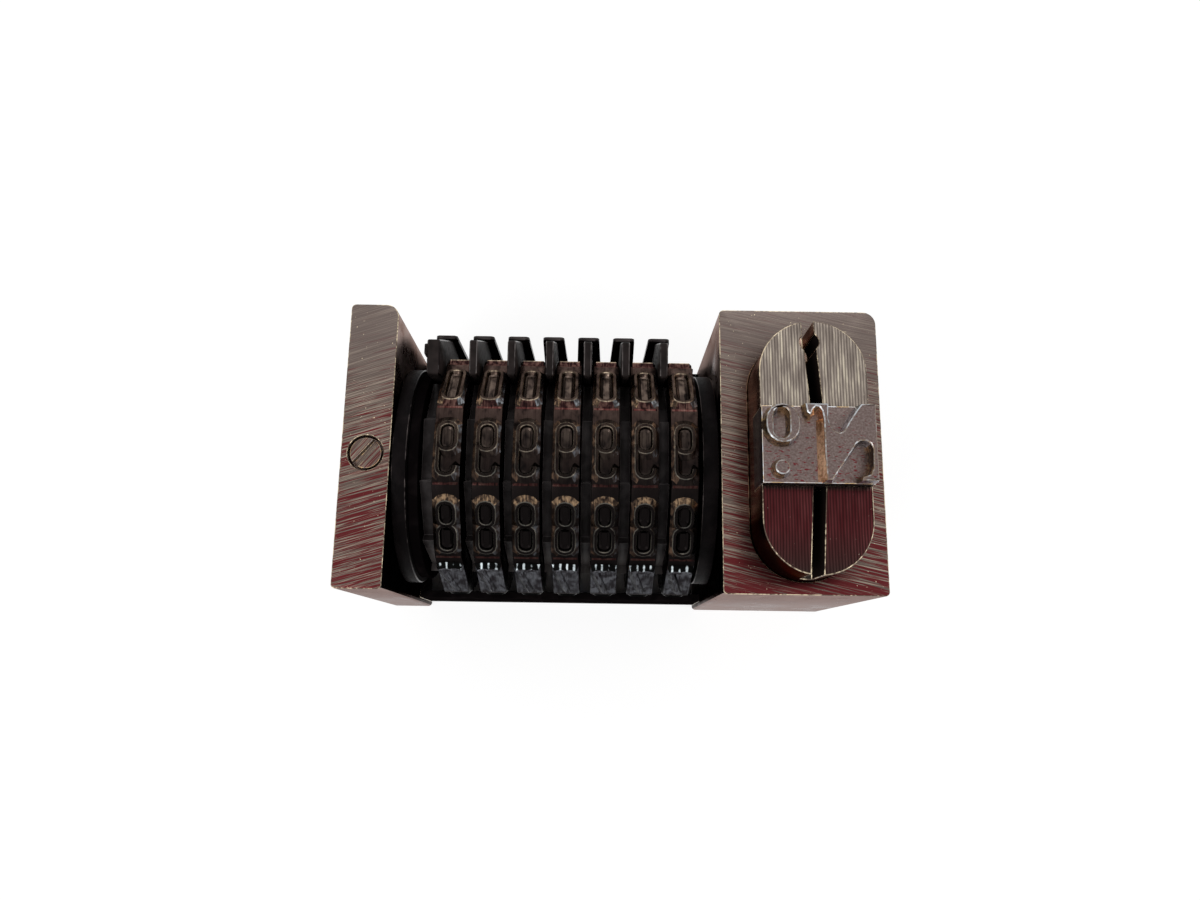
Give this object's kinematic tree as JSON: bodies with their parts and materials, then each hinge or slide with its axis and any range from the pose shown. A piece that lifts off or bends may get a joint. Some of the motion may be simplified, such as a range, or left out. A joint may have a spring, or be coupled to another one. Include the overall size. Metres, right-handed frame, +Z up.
{
  "type": "numbering machine",
  "caption": "Letterpress numbering machine: numeral wheels with ratchets on one shaft in a steel case, advanced by a swing and pawl that a sprung plunger rocks.",
  "frame": {"origin": "middle of the underside of the case", "axes": "+X along the case from the narrow block to the plunger block, +Y to the rear where the detents are, +Z up towards the type faces"},
  "size_m": [0.0412, 0.0222, 0.0288],
  "materials": {
    "case_steel": "worn ground steel",
    "plate_steel": "dark blued sheet",
    "black_steel": "blackened steel, oiled",
    "wheel_metal": "brown plated, worn",
    "plunger_steel": "milled steel",
    "sign_metal": "worn steel",
    "shaft_steel": "ground",
    "spring_steel": "blue spring temper",
    "screw_steel": "turned"
  },
  "bodies": {
    "root": {"case": "case_steel", "base_plate": "plate_steel", "base_plate_screws": "screw_steel", "shaft_lock_screw": "screw_steel", "wheel_shaft": "shaft_steel", "left_washer": "black_steel", "right_washer": "black_steel", "detent_rod": "shaft_steel", "detent_spacers": "black_steel", "detent_spring_comb": "spring_steel", "comb_screws": "screw_steel", "plunger_spring_front": "spring_steel", "plunger_spring_rear": "spring_steel"},
    "plunger": {"plunger": "plunger_steel", "sign_block": "sign_metal"},
    "swing": {"swing_left_cheek": "black_steel", "swing_right_cheek": "black_steel", "swing_drive_pin": "shaft_steel", "swing_tie_rod": "shaft_steel", "pawl_rod": "shaft_steel", "pawl_spring": "spring_steel"},
    "pawl": {"advancing_pawl": "black_steel"},
    "wheel_1": {"numeral_wheel_1": "wheel_metal", "ratchet_1": "black_steel"},
    "wheel_2": {"numeral_wheel_2": "wheel_metal", "ratchet_2": "black_steel"},
    "wheel_3": {"numeral_wheel_3": "wheel_metal", "ratchet_3": "black_steel"},
    "wheel_4": {"numeral_wheel_4": "wheel_metal", "ratchet_4": "black_steel"},
    "wheel_5": {"numeral_wheel_5": "wheel_metal", "ratchet_5": "black_steel"},
    "wheel_6": {"numeral_wheel_6": "wheel_metal", "ratchet_6": "black_steel"},
    "wheel_7": {"numeral_wheel_7": "wheel_metal", "ratchet_7": "black_steel"},
    "detent_1": {"detent_1": "black_steel"},
    "detent_2": {"detent_2": "black_steel"},
    "detent_3": {"detent_3": "black_steel"},
    "detent_4": {"detent_4": "black_steel"},
    "detent_5": {"detent_5": "black_steel"},
    "detent_6": {"detent_6": "black_steel"},
    "detent_7": {"detent_7": "black_steel"}
  },
  "joints": [
    {"name": "plunger_press", "type": "slide", "parent": "root", "child": "plunger", "axis": [0, 0, -1], "range_m": [0, 0.0055], "stiffness_N_per_m": 900, "springref_m": -0.004, "deforming": ["plunger_spring_front", "plunger_spring_rear"]},
    {"name": "swing_rock", "type": "hinge", "parent": "root", "child": "swing", "pos_m": [0, -0.00085, 0.0133], "axis": [1, 0, 0], "range_deg": [-42.01, 0]},
    {"name": "pawl_lift", "type": "hinge", "parent": "swing", "child": "pawl", "pos_m": [0, 0.00153, 0.0021], "axis": [1, 0, 0], "range_deg": [-9, 0], "stiffness_Nm_per_rad": 0.002, "springref_deg": 22.92, "deforming": ["pawl_spring"]},
    {"name": "wheel_1_spin", "type": "hinge", "parent": "root", "child": "wheel_1", "pos_m": [0, -0.00085, 0.0133], "axis": [1, 0, 0], "continuous": true},
    {"name": "wheel_2_spin", "type": "hinge", "parent": "root", "child": "wheel_2", "pos_m": [0, -0.00085, 0.0133], "axis": [1, 0, 0], "continuous": true},
    {"name": "wheel_3_spin", "type": "hinge", "parent": "root", "child": "wheel_3", "pos_m": [0, -0.00085, 0.0133], "axis": [1, 0, 0], "continuous": true},
    {"name": "wheel_4_spin", "type": "hinge", "parent": "root", "child": "wheel_4", "pos_m": [0, -0.00085, 0.0133], "axis": [1, 0, 0], "continuous": true},
    {"name": "wheel_5_spin", "type": "hinge", "parent": "root", "child": "wheel_5", "pos_m": [0, -0.00085, 0.0133], "axis": [1, 0, 0], "continuous": true},
    {"name": "wheel_6_spin", "type": "hinge", "parent": "root", "child": "wheel_6", "pos_m": [0, -0.00085, 0.0133], "axis": [1, 0, 0], "continuous": true},
    {"name": "wheel_7_spin", "type": "hinge", "parent": "root", "child": "wheel_7", "pos_m": [0, -0.00085, 0.0133], "axis": [1, 0, 0], "continuous": true},
    {"name": "detent_1_lift", "type": "hinge", "parent": "root", "child": "detent_1", "pos_m": [0, 0.0087, 0.0046], "axis": [1, 0, 0], "range_deg": [-3.5, 0], "stiffness_Nm_per_rad": 0.002, "springref_deg": 17.19, "deforming": ["detent_spring_comb"]},
    {"name": "detent_2_lift", "type": "hinge", "parent": "root", "child": "detent_2", "pos_m": [0, 0.0087, 0.0046], "axis": [1, 0, 0], "range_deg": [-3.5, 0], "stiffness_Nm_per_rad": 0.002, "springref_deg": 17.19},
    {"name": "detent_3_lift", "type": "hinge", "parent": "root", "child": "detent_3", "pos_m": [0, 0.0087, 0.0046], "axis": [1, 0, 0], "range_deg": [-3.5, 0], "stiffness_Nm_per_rad": 0.002, "springref_deg": 17.19},
    {"name": "detent_4_lift", "type": "hinge", "parent": "root", "child": "detent_4", "pos_m": [0, 0.0087, 0.0046], "axis": [1, 0, 0], "range_deg": [-3.5, 0], "stiffness_Nm_per_rad": 0.002, "springref_deg": 17.19},
    {"name": "detent_5_lift", "type": "hinge", "parent": "root", "child": "detent_5", "pos_m": [0, 0.0087, 0.0046], "axis": [1, 0, 0], "range_deg": [-3.5, 0], "stiffness_Nm_per_rad": 0.002, "springref_deg": 17.19},
    {"name": "detent_6_lift", "type": "hinge", "parent": "root", "child": "detent_6", "pos_m": [0, 0.0087, 0.0046], "axis": [1, 0, 0], "range_deg": [-3.5, 0], "stiffness_Nm_per_rad": 0.002, "springref_deg": 17.19},
    {"name": "detent_7_lift", "type": "hinge", "parent": "root", "child": "detent_7", "pos_m": [0, 0.0087, 0.0046], "axis": [1, 0, 0], "range_deg": [-3.5, 0], "stiffness_Nm_per_rad": 0.002, "springref_deg": 17.19}
  ],
  "couplings": [
    {"joint": "swing_rock", "follows": "plunger_press", "rad_per_m": -133.28}
  ]
}
